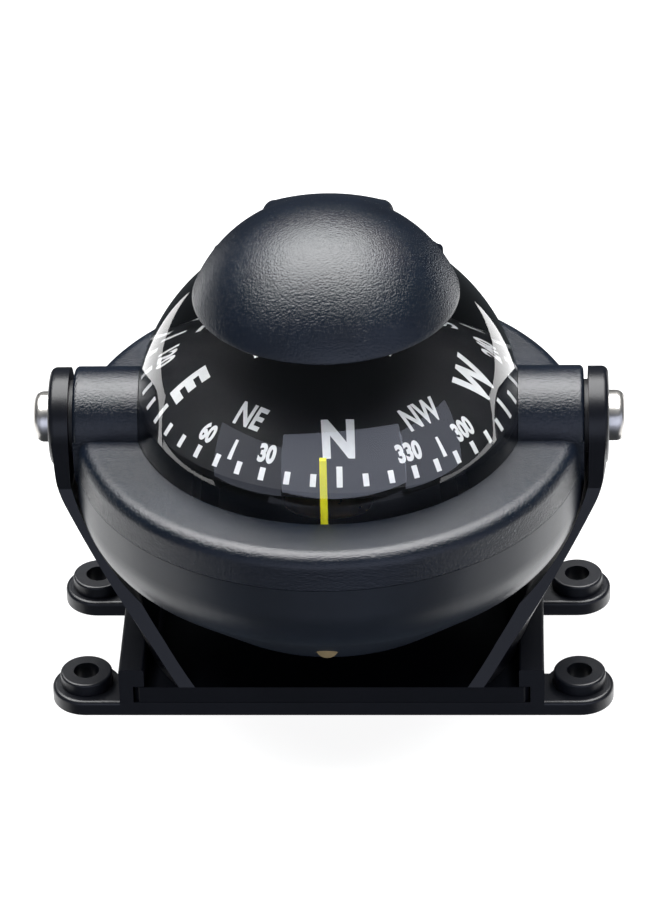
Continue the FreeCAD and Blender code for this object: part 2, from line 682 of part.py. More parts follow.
def bottom_screws():
    base = AXIS_Z + BOWL_BOTTOM
    heights = (base + BOTTOM_SCREW_SINK, base + COUNTERBORE, base + BOTTOM_SCREW_TIP)
    return Part.makeCompound([cap_screw(spot, *heights, BOTTOM_SCREW_HEAD_R, BOTTOM_SCREW_SHANK_R)
                              for spot in ring_spots(BOTTOM_SCREW_RING_R, 4, 45)])


def capsule_screws():
    seat = AXIS_Z + CAPSULE_FLANGE_BOTTOM
    heights = (seat - CAPSULE_SCREW_HEAD_T, seat, AXIS_Z + CAPSULE_SCREW_TIP)
    return Part.makeCompound([cap_screw(spot, *heights, CAPSULE_SCREW_HEAD_R, CAPSULE_SCREW_SHANK_R)
                              for spot in ring_spots(CAPSULE_SCREW_RING_R, 6, 30)])


# ---- capsule ----------------------------------------------------------------------------------
def lens_dome():
    dome = ball(LENS_R).cut(ball(LENS_IN_R))
    dome = dome.common(box(-BIG, BIG, -BIG, BIG, AXIS_Z + BEZEL_FLOOR, BIG))
    bore_r = math.sqrt(LENS_IN_R ** 2 - BEZEL_FLOOR ** 2)
    flange = tube_z(LENS_FLANGE_R, bore_r, AXIS_Z + LENS_FLANGE_BOTTOM, AXIS_Z + BEZEL_FLOOR)
    return union([dome, flange])


def lens_gasket():
    middle = (LENS_FLANGE_BOTTOM + CAPSULE_FLANGE_TOP) / 2
    return torus(GASKET_R, GASKET_WIRE_R, (0, 0, AXIS_Z + middle), Z_AXIS)


def capsule_chamber(radius, floor):
    """Ball cut off flat at the floor."""
    return ball(radius).common(box(-BIG, BIG, -BIG, BIG, AXIS_Z + floor, AXIS_Z + CAPSULE_FLANGE_TOP))


def capsule_bowl():
    plug_z = AXIS_Z + PLUG_REL
    outer = capsule_chamber(LENS_IN_R + CAPSULE_WALL, CAPSULE_FLOOR - CAPSULE_FLOOR_T)
    flange = cyl_z(CAPSULE_FLANGE_R, AXIS_Z + CAPSULE_FLANGE_BOTTOM, AXIS_Z + CAPSULE_FLANGE_TOP)
    feet = [cyl_z(FOOT_BOSS_R, AXIS_Z + BOWL_BOTTOM + SHELL_T + RUN, AXIS_Z + CAPSULE_FLOOR, x, y)
            for x, y in ring_spots(BOTTOM_SCREW_RING_R, 4, 45)]
    plug_boss = cyl_y(PLUG_BOSS_R, PLUG_BOSS_ROOT_Y, PLUG_BOSS_Y, 0, plug_z)
    body = union([outer, flange, plug_boss] + feet).cut(capsule_chamber(LENS_IN_R, CAPSULE_FLOOR))
    body = body.cut(cyl_z(CHAMBER_PORT_R, 0, AXIS_Z))
    body = body.cut(cyl_y(PLUG_STEM_R + RUN, PLUG_BOSS_ROOT_Y - PLUG_BOSS_R, PLUG_BOSS_Y + PAST, 0, plug_z))
    for x, y in ring_spots(BOTTOM_SCREW_RING_R, 4, 45):
        body = body.cut(cyl_z(FOOT_THREAD_R, 0, AXIS_Z + BOWL_BOTTOM + FOOT_THREAD_END, x, y))
    for x, y in ring_spots(CAPSULE_SCREW_RING_R, 6, 30):
        body = body.cut(cyl_z(CAPSULE_THREAD_R, 0, AXIS_Z, x, y))
    return body


def filler_plug():
    z = AXIS_Z + PLUG_REL
    head_start = PLUG_BOSS_Y + PLUG_HEAD_GAP
    head_end = head_start + PLUG_HEAD_T
    stem = cyl_y(PLUG_STEM_R, PLUG_STEM_END_Y, head_start, 0, z)
    head = cyl_y(PLUG_HEAD_R, head_start, head_end, 0, z)
    slot = box(-SLOT_HALF, SLOT_HALF, head_end - SLOT_DEPTH, head_end + PAST,
               z - PLUG_HEAD_R, z + PLUG_HEAD_R)
    return union([stem, head]).cut(slot)


def filler_seal():
    middle_y = PLUG_BOSS_Y + PLUG_HEAD_GAP / 2
    return torus(PLUG_SEAL_R, PLUG_SEAL_WIRE_R, (0, middle_y, AXIS_Z + PLUG_REL), Y_AXIS)


def diaphragm():
    """Rubber disc with one rolled convolution that lets the liquid expand."""
    top = AXIS_Z + CAPSULE_FLOOR - CAPSULE_FLOOR_T
    disc = cyl_z(DIAPHRAGM_R, top - DIAPHRAGM_T, top)
    bead = torus(DIAPHRAGM_ROLL_R, DIAPHRAGM_BEAD_R, (0, 0, top - DIAPHRAGM_T / 2), Z_AXIS)
    groove = torus(DIAPHRAGM_ROLL_R, DIAPHRAGM_GROOVE_R, (0, 0, top + 2 * RUN), Z_AXIS)
    return union([disc, bead]).cut(groove)


def diaphragm_ring():
    top = AXIS_Z + CAPSULE_FLOOR - CAPSULE_FLOOR_T - DIAPHRAGM_T
    return tube_z(DIAPHRAGM_R, CLAMP_RING_IN_R, top - CLAMP_RING_T, top)


def lubber_ring():
    """Black ring inside the capsule that carries the lubber line and hides the joint."""
    ring = tube_z(LUBBER_RING_R, LUBBER_RING_IN_R, AXIS_Z + LUBBER_RING_BOTTOM, AXIS_Z + LUBBER_RING_TOP)
    ring = ring.common(ball(LENS_IN_R - RUN))
    inner_y = LUBBER_Y + PAST
    return ring.cut(box(-LUBBER_FOOT_HALF_X, LUBBER_FOOT_HALF_X, LUBBER_FOOT_Y, inner_y, 0, BIG))


def lubber_line():
    bottom = AXIS_Z + LUBBER_RING_BOTTOM
    inner_y = LUBBER_Y + LUBBER_HALF_Y
    blade = box(-LUBBER_HALF_X, LUBBER_HALF_X, LUBBER_Y - LUBBER_HALF_Y, inner_y,
                bottom, AXIS_Z + LUBBER_TOP)
    foot = box(-LUBBER_FOOT_HALF_X, LUBBER_FOOT_HALF_X, LUBBER_FOOT_Y, inner_y,
               bottom, AXIS_Z + LUBBER_RING_TOP)
    tip = [e for e in blade.Edges if e.BoundBox.ZMin > AXIS_Z + LUBBER_TOP - ON_FACE]
    return union([fillet(blade, LUBBER_TIP_R, tip), foot])


# ---- gimbal and card --------------------------------------------------------------------------
def gimbal_yoke():
    """Fixed fork that stands on the capsule floor and holds the outer gimbal pins."""
    floor = AXIS_Z + CAPSULE_FLOOR
    outer_x = POST_X + POST_HALF_T
    pieces = [box(-outer_x, outer_x, -POST_HALF_Y, POST_HALF_Y, floor, floor + FORK_BASE_T)]
    for side in SIDES:
        low, high = sorted((side * (POST_X - POST_HALF_T), side * outer_x))
        pieces.append(box(low, high, -POST_HALF_Y, POST_HALF_Y, floor, AXIS_Z))
        pieces.append(cyl_x(POST_HALF_Y, low, high))
    fork = union(pieces)
    for side in SIDES:
        fork = fork.cut(cyl_x(GIMBAL_PIN_R, side * RING_OUT_R, side * (outer_x + PAST)))
    return fork


def gimbal_pins():
    pins = [cyl_x(GIMBAL_PIN_R, s * (RING_IN_R + GIMBAL_PIN_SET), s * (POST_X + POST_HALF_T - 2 * RUN))
            for s in SIDES]
    return Part.makeCompound(pins)


def gimbal_ring():
    ring = tube_z(RING_OUT_R, RING_IN_R, AXIS_Z - RING_HALF_T, AXIS_Z + RING_HALF_T)
    for side in SIDES:
        ring = ring.cut(cyl_x(GIMBAL_PIN_R + RUN, side * (RING_IN_R - PAST), side * (RING_OUT_R + PAST)))
        ring = ring.cut(cyl_y(GIMBAL_PIN_R, side * (RING_IN_R - PAST), side * (RING_OUT_R - RING_PIN_SET)))
    return dip(ring)


def ring_pins():
    pins = [cyl_y(GIMBAL_PIN_R, s * (CARRIER_HALF_Y - RING_PIN_DEPTH), s * (RING_OUT_R - RING_PIN_SET))
            for s in SIDES]
    return dip(Part.makeCompound(pins))


def pivot_carrier():
    """Bar between the ring pins with a centre hub and a stem for the counterweight."""
    bar = box(-CARRIER_HALF_X, CARRIER_HALF_X, -CARRIER_HALF_Y, CARRIER_HALF_Y,
              AXIS_Z + CARRIER_BOTTOM, AXIS_Z + CARRIER_TOP)
    hub = cyl_z(HUB_R, AXIS_Z + HUB_BOTTOM, AXIS_Z + HUB_TOP)
    stem = cyl_z(STEM_R, AXIS_Z + STEM_END, AXIS_Z + HUB_BOTTOM)
    carrier = union([bar, hub, stem])
    for side in SIDES:
        hole = cyl_y(GIMBAL_PIN_R + RUN, side * (CARRIER_HALF_Y - RING_PIN_DEPTH - 2 * RUN),
                     side * (CARRIER_HALF_Y + PAST))
        carrier = carrier.cut(hole)
    return hang(carrier.cut(cyl_z(PIN_R, AXIS_Z + PIN_BOTTOM, AXIS_Z + HUB_TOP + PAST)))


def counterweight():
    weight = tube_z(WEIGHT_R, STEM_R, AXIS_Z + WEIGHT_BOTTOM, AXIS_Z + WEIGHT_TOP)
    rims = [e for e in weight.Edges if e.BoundBox.XLength > WEIGHT_R]
    return hang(fillet(weight, WEIGHT_EDGE_R, rims))


def pivot_pin():
    """Hardened point that the jewel rests on."""
    shoulder = AXIS_Z + PIN_SHOULDER
    shaft = cyl_z(PIN_R, AXIS_Z + PIN_BOTTOM, shoulder)
    point = Part.makeCone(PIN_R, PIN_TIP_R, PIN_POINT, Vector(0, 0, shoulder), Z_AXIS)
    return hang(union([shaft, point]))


def jewel_cup():
    bottom = AXIS_Z + CUP_BOTTOM
    cup = cyl_z(CUP_R, bottom, AXIS_Z + CUP_TOP)
    hollow = Part.makeCone(CUP_MOUTH_R, CUP_SEAT_R, CUP_DEPTH, Vector(0, 0, bottom - 2 * RUN), Z_AXIS)
    return hang(cup.cut(hollow))


def compass_card():
    dome = ball(CARD_DOME_R, CARD_DOME_REL).cut(ball(CARD_DOME_R - CARD_T, CARD_DOME_REL))
    return hang(dome.common(cyl_z(CARD_R, AXIS_Z + CARD_DOME_REL, AXIS_Z + CARD_DOME_R)))


def magnet_bar(side):
    middle = side * MAGNET_X
    return box(middle - MAGNET_HALF_X, middle + MAGNET_HALF_X, -MAGNET_HALF_Y, MAGNET_HALF_Y,
               AXIS_Z + MAGNET_BOTTOM, AXIS_Z + MAGNET_TOP)


def card_float():
    """Hollow float under the card that carries the jewel and magnets."""
    bottom = AXIS_Z + FLOAT_BOTTOM
    body = cyl_z(FLOAT_R, bottom, AXIS_Z + CARD_DOME_R)
    body = body.common(ball(CARD_DOME_R - CARD_T, CARD_DOME_REL))
    hollow = tube_z(FLOAT_R - FLOAT_WALL, FLOAT_HUB_R, bottom + FLOAT_WALL, AXIS_Z + FLOAT_HOLLOW_TOP)
    body = body.cut(hollow).cut(cyl_z(CUP_R, AXIS_Z + CUP_BOTTOM, AXIS_Z + CUP_TOP))
    for side in SIDES:
        body = body.cut(magnet_bar(side))
    return hang(body)


def card_magnets():
    return hang(Part.makeCompound([magnet_bar(s) for s in SIDES]))


# ---- compensator ------------------------------------------------------------------------------
def compensator_block():
    base = AXIS_Z + BOWL_BOTTOM + SHELL_T
    block = cyl_z(BLOCK_R, base, AXIS_Z + BLOCK_TOP)
    reach = BLOCK_R + PAST
    block = block.cut(cyl_y(ROD_R + RUN, -reach, reach, 0, AXIS_Z + FORE_ROD_REL))
    return block.cut(cyl_x(ROD_R + RUN, -reach, reach, 0, AXIS_Z + CROSS_ROD_REL))


def rod(cylinder, outer_end, boss_end, rel):
    """Brass rod: body in the block, wider slotted head out through the bowl, collar inside it."""
    z = AXIS_Z + rel
    collar_start = boss_end + 2 * RUN
    body = cylinder(ROD_R, HEAD_INNER_END, ROD_INNER_END, 0, z)
    head = cylinder(ROD_HEAD_R, outer_end, HEAD_INNER_END, 0, z)
    collar = cylinder(ROD_COLLAR_R, collar_start, collar_start + ROD_COLLAR_T, 0, z)
    across = cylinder(BIG, outer_end - PAST, outer_end + SLOT_DEPTH, 0, z)
    slot = across.common(box(-BIG, BIG, -BIG, BIG, z - SLOT_HALF, z + SLOT_HALF))
    hole = cyl_z(ROD_MAGNET_R, z - ROD_HEAD_R, z + ROD_HEAD_R)
    return union([body, head, collar]).cut(slot).cut(hole)


def rod_magnet(rel):
    return cyl_z(ROD_MAGNET_R, AXIS_Z + rel - ROD_MAGNET_HALF, AXIS_Z + rel + ROD_MAGNET_HALF)


def compensator_seals():
    ring_r = ROD_HEAD_R + SEAL_WIRE_R + RUN
    set_back = SEAL_SHOULDER + SEAL_GROOVE / 2
    fore = torus(ring_r, SEAL_WIRE_R, (0, FORE_BOSS_END - set_back, AXIS_Z + FORE_ROD_REL), Y_AXIS)
    cross = torus(ring_r, SEAL_WIRE_R, (CROSS_BOSS_END - set_back, 0, AXIS_Z + CROSS_ROD_REL), X_AXIS)
    return Part.makeCompound([fore, cross])


# ---- hood -------------------------------------------------------------------------------------
def hood_cap():
    shell = ball(HOOD_R, HOOD_CENTRE_REL).cut(ball(HOOD_R - HOOD_WALL, HOOD_CENTRE_REL))
    shell = shell.cut(ball(LENS_R + HOOD_GAP))
    return shell.common(cyl_z(HOOD_RIM_R, AXIS_Z + HOOD_CENTRE_REL, BIG))


def strap_profile(half_x, outer_r, corner):
    """Section across the hood's rear strap: lens-side arc below, outer arc above, round corners."""
    def on(radius, x):
        return (x, 0.0, math.sqrt(radius ** 2 - x ** 2))
    top_x = half_x - corner
    top_z = on(outer_r, top_x)[2]
    side_z = top_z - corner
    mid = corner * (1 - math.sqrt(0.5))
    low_z = on(BAND_IN_R, half_x)[2]
    return [arc(on(BAND_IN_R, -half_x), on(BAND_IN_R, 0), on(BAND_IN_R, half_x)),
            line((half_x, 0, low_z), (half_x, 0, side_z)),
            arc((half_x, 0, side_z), (half_x - mid, 0, top_z - mid), (top_x, 0, top_z)),
            arc(on(outer_r, top_x), on(outer_r, 0), on(outer_r, -top_x)),
            arc((-top_x, 0, top_z), (mid - half_x, 0, top_z - mid), (-half_x, 0, side_z)),
            line((-half_x, 0, side_z), (-half_x, 0, low_z))]


def strap(half_x, outer_r, corner, start_deg):
    face = Part.Face(Part.Wire(strap_profile(half_x, outer_r, corner)))
    face.rotate(ORIGIN, X_AXIS, -start_deg)
    solid = face.revolve(ORIGIN, X_AXIS, start_deg - STRAP_END_DEG)
    solid.translate(AXIS_POINT)
    return solid


def strap_foot(side):
    bottom, top = AXIS_Z, AXIS_Z + STRAP_FOOT_TOP
    middle_x = side * HOOD_SCREW_X
    foot = box(middle_x - STRAP_FOOT_R, middle_x + STRAP_FOOT_R, STRAP_FOOT_IN_Y, HOOD_SCREW_Y, bottom, top)
    return union([foot, cyl_z(STRAP_FOOT_R, bottom, top, middle_x, HOOD_SCREW_Y)])


def hood_strap():
    """Rear strap from the cap down to the bezel, with the raised lamp channel along its middle."""
    pieces = [strap(SPINE_HALF_X, SPINE_R, SPINE_CORNER_R, SPINE_START_DEG),
              strap(BAND_HALF_X, BAND_R, BAND_CORNER_R, BAND_START_DEG)]
    pieces += [strap_foot(side) for side in SIDES]
    body = union(pieces).common(box(-BIG, BIG, 0, BIG, AXIS_Z + BEZEL_TOP + RUN, BIG))
    body = body.cut(ball(BAND_IN_R)).cut(ball(HOOD_R + RUN / 2, HOOD_CENTRE_REL))
    channel = strap(CHANNEL_HALF_X, SPINE_R - CHANNEL_SKIN, BAND_CORNER_R, CHANNEL_START_DEG)
    channel = channel.cut(ball(BAND_IN_R + CHANNEL_FLOOR))
    body = body.cut(channel.common(box(-BIG, BIG, 0, BIG, AXIS_Z + CHANNEL_BOTTOM, BIG)))
    for side in SIDES:
        body = body.cut(cyl_z(HOOD_SCREW_HOLE_R, AXIS_Z, AXIS_Z + STRAP_FOOT_TOP + PAST,
                              side * HOOD_SCREW_X, HOOD_SCREW_Y))
    return body.cut(cyl_y(GLAND_R, HOOD_SCREW_Y, SPINE_R + PAST, 0, AXIS_Z + GLAND_REL))


def hood_screws():
    seat = AXIS_Z + STRAP_FOOT_TOP
    top = seat + HOOD_SCREW_HEAD_T
    screws = []
    for side in SIDES:
        x = side * HOOD_SCREW_X
        head = cyl_z(HOOD_SCREW_HEAD_R, seat, top, x, HOOD_SCREW_Y)
        rim = [e for e in head.Edges if e.BoundBox.ZMin > top - ON_FACE]
        head = fillet(head, HOOD_SCREW_EDGE_R, rim)
        slot = box(x - HOOD_SCREW_HEAD_R, x + HOOD_SCREW_HEAD_R, HOOD_SCREW_Y - HOOD_SCREW_SLOT_HALF,
                   HOOD_SCREW_Y + HOOD_SCREW_SLOT_HALF, top - HOOD_SCREW_SLOT, top + PAST)
        shank = cyl_z(HOOD_SCREW_SHANK_R, AXIS_Z + HOOD_SCREW_TIP, seat, x, HOOD_SCREW_Y)
        screws.append(union([head.cut(slot), shank]))
    return Part.makeCompound(screws)


def lamp_board():
    disc = cyl_z(LAMP_R, AXIS_Z + LAMP_TOP - LAMP_T, AXIS_Z + LAMP_TOP)
    return disc.common(ball(HOOD_R - HOOD_WALL, HOOD_CENTRE_REL))


def lamp_leds():
    top = AXIS_Z + LAMP_TOP - LAMP_T
    leds = []
    for side in SIDES:
        stem = cyl_z(LED_R, top - LED_STEM, top, side * LED_X, 0)
        leds.append(union([stem, Part.makeSphere(LED_R, Vector(side * LED_X, 0, top - LED_STEM))]))
    return Part.makeCompound(leds)


def cable_gland():
    """Rubber grommet where the lamp's lead leaves the strap."""
    z = AXIS_Z + GLAND_REL
    neck = cyl_y(GLAND_R, GLAND_IN_Y, GLAND_SEAT_Y, 0, z)
    collar = cyl_y(GLAND_COLLAR_R, GLAND_SEAT_Y, GLAND_COLLAR_Y, 0, z)
    nose = Part.makeCone(GLAND_NOSE_R, GLAND_NOSE_TIP_R, GLAND_NOSE, Vector(0, GLAND_COLLAR_Y, z), Y_AXIS)
    bore = cyl_y(GLAND_BORE_R, GLAND_IN_Y - PAST, GLAND_COLLAR_Y + GLAND_NOSE + PAST, 0, z)
    return union([neck, collar, nose]).cut(bore)


NODES = {
    "base_plate": base_plate, "slide_yoke": slide_yoke, "latch_spring": latch_spring,
    "latch_rivets": latch_rivets,
    "pivot_screw_left": lambda: pivot_screw(-1), "pivot_screw_right": lambda: pivot_screw(1),
    "friction_washers": friction_washers, "trunnion_inserts": trunnion_inserts,
    "upper_housing": upper_housing, "lower_housing": lower_housing,
    "bottom_screws": bottom_screws, "capsule_screws": capsule_screws,
    "lens_dome": lens_dome, "lens_gasket": lens_gasket, "capsule_bowl": capsule_bowl,
    "filler_plug": filler_plug, "filler_seal": filler_seal,
    "diaphragm": diaphragm, "diaphragm_ring": diaphragm_ring,
    "lubber_ring": lubber_ring, "lubber_line": lubber_line,
    "gimbal_yoke": gimbal_yoke, "gimbal_pins": gimbal_pins, "gimbal_ring": gimbal_ring,
    "ring_pins": ring_pins, "pivot_carrier": pivot_carrier, "counterweight": counterweight,
    "pivot_pin": pivot_pin, "jewel_cup": jewel_cup, "compass_card": compass_card,
    "card_float": card_float, "card_magnets": card_magnets,
    "compensator_block": compensator_block,
    "fore_aft_rod": lambda: rod(cyl_y, FORE_ROD_END, FORE_BOSS_END, FORE_ROD_REL),
    "athwart_rod": lambda: rod(cyl_x, CROSS_ROD_END, CROSS_BOSS_END, CROSS_ROD_REL),
    "fore_aft_magnet": lambda: rod_magnet(FORE_ROD_REL), "athwart_magnet": lambda: rod_magnet(CROSS_ROD_REL),
    "compensator_seals": compensator_seals,
    "hood_cap": hood_cap, "hood_strap": hood_strap, "hood_screws": hood_screws,
    "lamp_board": lamp_board, "lamp_leds": lamp_leds, "cable_gland": cable_gland,
}

os.makedirs("parts", exist_ok=True)
for node_name, build in NODES.items():
    save(node_name, build())
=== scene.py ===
"""Looks of the bracket-mounted dome compass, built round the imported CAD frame."""

import json
import math

import bmesh
import bpy
from mathutils import Matrix, Vector


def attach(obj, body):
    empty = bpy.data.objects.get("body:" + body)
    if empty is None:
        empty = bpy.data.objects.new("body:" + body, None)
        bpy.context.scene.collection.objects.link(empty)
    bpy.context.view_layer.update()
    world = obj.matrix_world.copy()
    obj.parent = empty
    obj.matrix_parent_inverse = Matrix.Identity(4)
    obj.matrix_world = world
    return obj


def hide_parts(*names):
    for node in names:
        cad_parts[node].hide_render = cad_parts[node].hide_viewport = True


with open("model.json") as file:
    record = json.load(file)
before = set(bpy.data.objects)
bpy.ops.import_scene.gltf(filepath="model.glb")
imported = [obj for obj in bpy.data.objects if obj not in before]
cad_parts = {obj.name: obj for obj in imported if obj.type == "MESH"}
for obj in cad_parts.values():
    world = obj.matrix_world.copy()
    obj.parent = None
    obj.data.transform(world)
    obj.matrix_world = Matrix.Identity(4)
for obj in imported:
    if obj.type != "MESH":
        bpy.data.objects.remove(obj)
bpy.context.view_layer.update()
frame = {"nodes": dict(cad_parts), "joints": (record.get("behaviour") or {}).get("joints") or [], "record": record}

MM = 0.001
NODES = frame["nodes"]
JOINTS = {joint["name"]: joint for joint in frame["joints"]}
AXIS = Vector(JOINTS["housing_tilt"]["pos_m"])      # centre of the lens, on the tilt axis

# optical and printed layout, millimetres from the lens centre
LENS_R = 39.0
FLANGE_R = 44.05
FLANGE_TOP_Z = -2.95
FLANGE_BOTTOM_Z = -5.25
FLANGE_INNER_R = 38.4
CHAMBER_R = 37.4           # inside of the capsule bowl, filled with liquid
CHAMBER_START_DEG = -12
CHAMBER_END_DEG = -40
LIQUID_IOR = 1.42
CARD_TURN_DEG = 5.8        # north mark's turn from straight ahead
CARD_DOME_R = 33.5
CARD_DOME_Z = -20.0        # centre of the card's dome
INK_LIFT = 0.04
INK_FACET = 0.6            # longest side of a printed triangle
ON_AXIS = 1e-6


# ---- mesh helpers -----------------------------------------------------------------------------
def mesh_object(name, bm, smooth_deg=35):
    mesh = bpy.data.meshes.new(name)
    bm.normal_update()
    bm.to_mesh(mesh)
    bm.free()
    obj = bpy.data.objects.new(name, mesh)
    bpy.context.scene.collection.objects.link(obj)
    if smooth_deg:
        mesh.shade_smooth()
        mesh.set_sharp_from_angle(angle=math.radians(smooth_deg))
    return obj


def arc_points(centre, radius, start_deg, end_deg, count):
    """Points on an arc in the (radius, height) plane, ends included."""
    points = []
    for k in range(count + 1):
        angle = math.radians(start_deg + (end_deg - start_deg) * k / count)
        points.append((centre[0] + radius * math.cos(angle), centre[1] + radius * math.sin(angle)))
    return points


def lathe(name, profile, segments=192, smooth_deg=35):
    """Turn a closed (radius, height) outline in millimetres about the vertical through the lens centre."""
    bm = bmesh.new()
    rings = []
    for r, z in profile:
        if r < ON_AXIS:
            rings.append([bm.verts.new(AXIS + Vector((0, 0, z)) * MM)])
            continue
        ring = []
        for k in range(segments):
            angle = 2 * math.pi * k / segments
            ring.append(bm.verts.new(AXIS + Vector((r * math.cos(angle), r * math.sin(angle), z)) * MM))
        rings.append(ring)
    closed = profile[0][0] > ON_AXIS
    pairs = list(zip(rings, rings[1:] + rings[:1])) if closed else list(zip(rings, rings[1:]))
    for low, high in pairs:
        for k in range(segments):
            n = (k + 1) % segments
            if len(low) == 1 and len(high) == 1:
                break
            if len(low) == 1:
                bm.faces.new((low[0], high[n], high[k]))
            elif len(high) == 1:
                bm.faces.new((low[k], low[n], high[0]))
            else:
                bm.faces.new((low[k], low[n], high[n], high[k]))
    bmesh.ops.recalc_face_normals(bm, faces=bm.faces)
    return mesh_object(name, bm, smooth_deg)


# ---- materials --------------------------------------------------------------------------------
class Nodes:
    """Short way to write a node tree."""

    def __init__(self, name):
        self.material = bpy.data.materials.new(name)
        self.material.use_nodes = True
        self.tree = self.material.node_tree
        self.shader = self.tree.nodes["Principled BSDF"]

    def add(self, kind, **settings):
        node = self.tree.nodes.new(kind)
        for key, value in settings.items():
            if key in node.inputs:
                node.inputs[key].default_value = value
            else:
                setattr(node, key, value)
        return node

    def link(self, source, target):
        self.tree.links.new(source, target)

    def place(self):
        if not hasattr(self, "coordinates"):
            self.coordinates = self.add("ShaderNodeTexCoord").outputs["Object"]
        return self.coordinates

    def noise(self, scale, detail=3.0, roughness=0.55):
        node = self.add("ShaderNodeTexNoise", Scale=scale, Detail=detail, Roughness=roughness)
        self.link(self.place(), node.inputs["Vector"])
        return node.outputs["Fac"]

    def ramp(self, source, stops):
        node = self.add("ShaderNodeValToRGB")
        ramp = node.color_ramp
        while len(ramp.elements) < len(stops):
            ramp.elements.new(0.5)
        for element, (position, colour) in zip(ramp.elements, stops):
            element.position = position
            element.color = (*colour, 1.0)
        self.link(source, node.inputs["Fac"])
        return node.outputs["Color"]

    def spread(self, source, low, high):
        node = self.add("ShaderNodeMapRange")
        node.inputs["To Min"].default_value = low
        node.inputs["To Max"].default_value = high
        self.link(source, node.inputs["Value"])
        return node.outputs["Result"]

    def bump(self, source, strength, distance, below=None):
        node = self.add("ShaderNodeBump", Strength=strength, Distance=distance)
        self.link(source, node.inputs["Height"])
        if below is not None:
            self.link(below, node.inputs["Normal"])
        return node.outputs["Normal"]


def shade(colour, factor):
    return tuple(channel * factor for channel in colour)


# noise scales are per metre, depths in metres
CLOUD_SCALE = 60
WAVE_SCALE = 160
WAVE_STRENGTH = 0.15
WAVE_DEPTH = 0.0002
GRAIN_STRENGTH = 0.6
GLOSS_SPREAD = 0.07


def plastic(name, colour, roughness, grain_size, grain_depth, specular=0.5, mottle=0.25):
    """Moulded plastic: fine spark grain, faint cloudiness and waves, and uneven gloss."""
    m = Nodes(name)
    m.shader.inputs["Specular IOR Level"].default_value = specular
    cloud = m.noise(CLOUD_SCALE, 4)
    grain = m.noise(1 / grain_size, 2, 0.6)
    m.link(m.ramp(cloud, [(0.3, shade(colour, 1 - mottle)), (0.7, shade(colour, 1 + mottle))]),
           m.shader.inputs["Base Color"])
    m.link(m.spread(grain, roughness - GLOSS_SPREAD, roughness + GLOSS_SPREAD), m.shader.inputs["Roughness"])
    wave = m.bump(m.noise(WAVE_SCALE, 2), WAVE_STRENGTH, WAVE_DEPTH)
    m.link(m.bump(grain, GRAIN_STRENGTH, grain_depth, wave), m.shader.inputs["Normal"])
    return m.material


STREAK_STRETCH = 0.15
STREAK_STRENGTH = 0.12
STREAK_DEPTH = 0.00002


def metal(name, colour, roughness, brush_scale):
    """Machined metal with fine streaks along X."""
    m = Nodes(name)
    m.shader.inputs["Metallic"].default_value = 1.0
    streak = m.add("ShaderNodeTexNoise", Scale=brush_scale, Detail=4.0)
    stretch = m.add("ShaderNodeMapping")
    stretch.inputs["Scale"].default_value = (STREAK_STRETCH, 1.0, 1.0)
    m.link(m.place(), stretch.inputs["Vector"])
    m.link(stretch.outputs["Vector"], streak.inputs["Vector"])
    m.link(m.ramp(m.noise(300), [(0.3, shade(colour, 0.85)), (0.7, shade(colour, 1.08))]),
           m.shader.inputs["Base Color"])
    m.link(m.spread(streak.outputs["Fac"], roughness - 0.06, roughness + 0.1), m.shader.inputs["Roughness"])
    m.link(m.bump(streak.outputs["Fac"], STREAK_STRENGTH, STREAK_DEPTH), m.shader.inputs["Normal"])
    return m.material


def clear_liquid(name):
    """Polished acrylic and the liquid behind it, taken as one clear body."""
    m = Nodes(name)
    m.shader.inputs["Transmission Weight"].default_value = 1.0
    m.shader.inputs["IOR"].default_value = LIQUID_IOR
    m.shader.inputs["Roughness"].default_value = 0.0
    m.shader.inputs["Coat Weight"].default_value = 1.0
    m.shader.inputs["Coat Roughness"].default_value = 0.0
    m.link(m.ramp(m.noise(25, 2), [(0.3, (0.98, 0.985, 1.0)), (0.7, (0.99, 0.995, 1.0))]),
           m.shader.inputs["Base Color"])
    return m.material


def ink(name, colour, painted_glow=0.0):
    """Flat paint with a faint speckle; a set glow adds painted light, an emission that brightens the colour seen
    through the lens, though the mark is no lamp.
    """
    m = Nodes(name)
    m.link(m.ramp(m.noise(900, 3), [(0.35, shade(colour, 0.93)), (0.65, colour)]),
           m.shader.inputs["Base Color"])
    m.shader.inputs["Roughness"].default_value = 0.6
    m.shader.inputs["Specular IOR Level"].default_value = 0.2
    if painted_glow:
        m.shader.inputs["Emission Color"].default_value = (*colour, 1.0)
        m.shader.inputs["Emission Strength"].default_value = painted_glow
    return m.material


